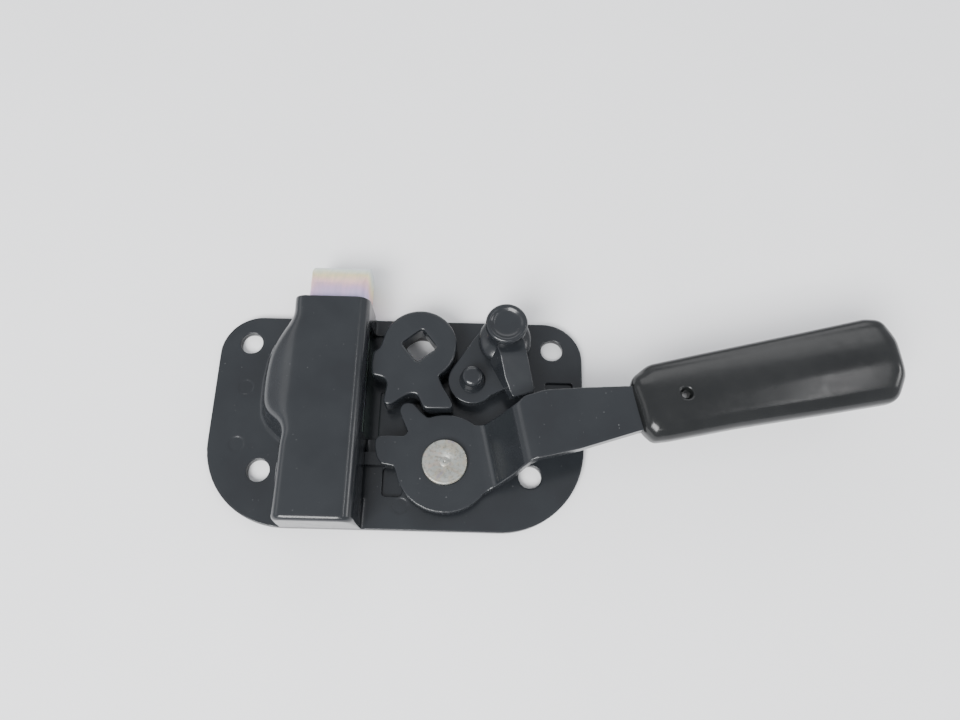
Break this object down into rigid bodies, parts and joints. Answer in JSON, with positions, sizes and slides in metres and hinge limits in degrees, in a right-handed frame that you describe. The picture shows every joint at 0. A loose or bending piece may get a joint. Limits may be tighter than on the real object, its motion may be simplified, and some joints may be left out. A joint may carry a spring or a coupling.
{
  "type": "spring bolt slam latch",
  "caption": "Rim latch on a pressed steel plate: spring bolt in a drawn channel, inside lever handle with dipped grip, square-socket follower and a snib lever with a knob.",
  "frame": {"origin": "middle of the plate's back face", "axes": "+X towards the grip along the plate's length, +Y the way the bolt points, +Z out of the plate away from the door"},
  "size_m": [0.2701, 0.106, 0.0358],
  "materials": {
    "dip_paint": "semi-gloss dark grey dip coat, slightly rounded at every edge",
    "zinc_bolt": "zinc plate with a faint iridescent passivation",
    "zinc_rivet": "whitish zinc plate with faint turning marks",
    "grip_plastisol": "soft dark grey dipped plastic, satin",
    "spring_steel": "drawn wire, oiled",
    "inner_steel": "plain steel, oiled"
  },
  "bodies": {
    "case": {"back_sheet": "dip_paint", "front_case": "dip_paint", "spring_guide": "inner_steel", "pivot_rivet": "zinc_rivet", "pivot_bush": "inner_steel", "hub_washer": "inner_steel", "return_spring": "spring_steel", "bolt_spring": "spring_steel", "spindle_bush": "dip_paint", "snap_ring": "spring_steel", "lock_pin": "dip_paint", "lock_wave_washer": "spring_steel"},
    "bolt": {"bolt": "zinc_bolt", "bolt_drive_lug": "dip_paint", "lug_rivets": "inner_steel"},
    "handle": {"handle_lever": "dip_paint", "handle_grip": "grip_plastisol", "drive_pin": "inner_steel"},
    "follower": {"follower": "dip_paint"},
    "lock": {"lock_plate": "dip_paint", "lock_bar": "dip_paint", "lock_knob": "dip_paint"}
  },
  "joints": [
    {"name": "handle_pivot", "type": "hinge", "parent": "case", "child": "handle", "pos_m": [0.0202, -0.0185, 0.006], "axis": [0, 0, 1], "range_deg": [0, 26], "stiffness_Nm_per_rad": 0.8, "springref_deg": -20.05, "deforming": ["return_spring"]},
    {"name": "bolt_slide", "type": "slide", "parent": "case", "child": "bolt", "axis": [0, -1, 0], "range_m": [0, 0.0114], "deforming": ["bolt_spring"]},
    {"name": "follower_pivot", "type": "hinge", "parent": "case", "child": "follower", "pos_m": [0.0084, 0.0283, 0.0034], "axis": [0, 0, 1], "range_deg": [-15.7, 0]},
    {"name": "lock_pivot", "type": "hinge", "parent": "case", "child": "lock", "pos_m": [0.02995, 0.015, 0.0072], "axis": [0, 0, 1], "range_deg": [-15, 0]}
  ],
  "couplings": [
    {"joint": "bolt_slide", "follows": "handle_pivot", "m_per_rad": 0.025},
    {"joint": "follower_pivot", "follows": "handle_pivot", "ratio": -0.6}
  ]
}
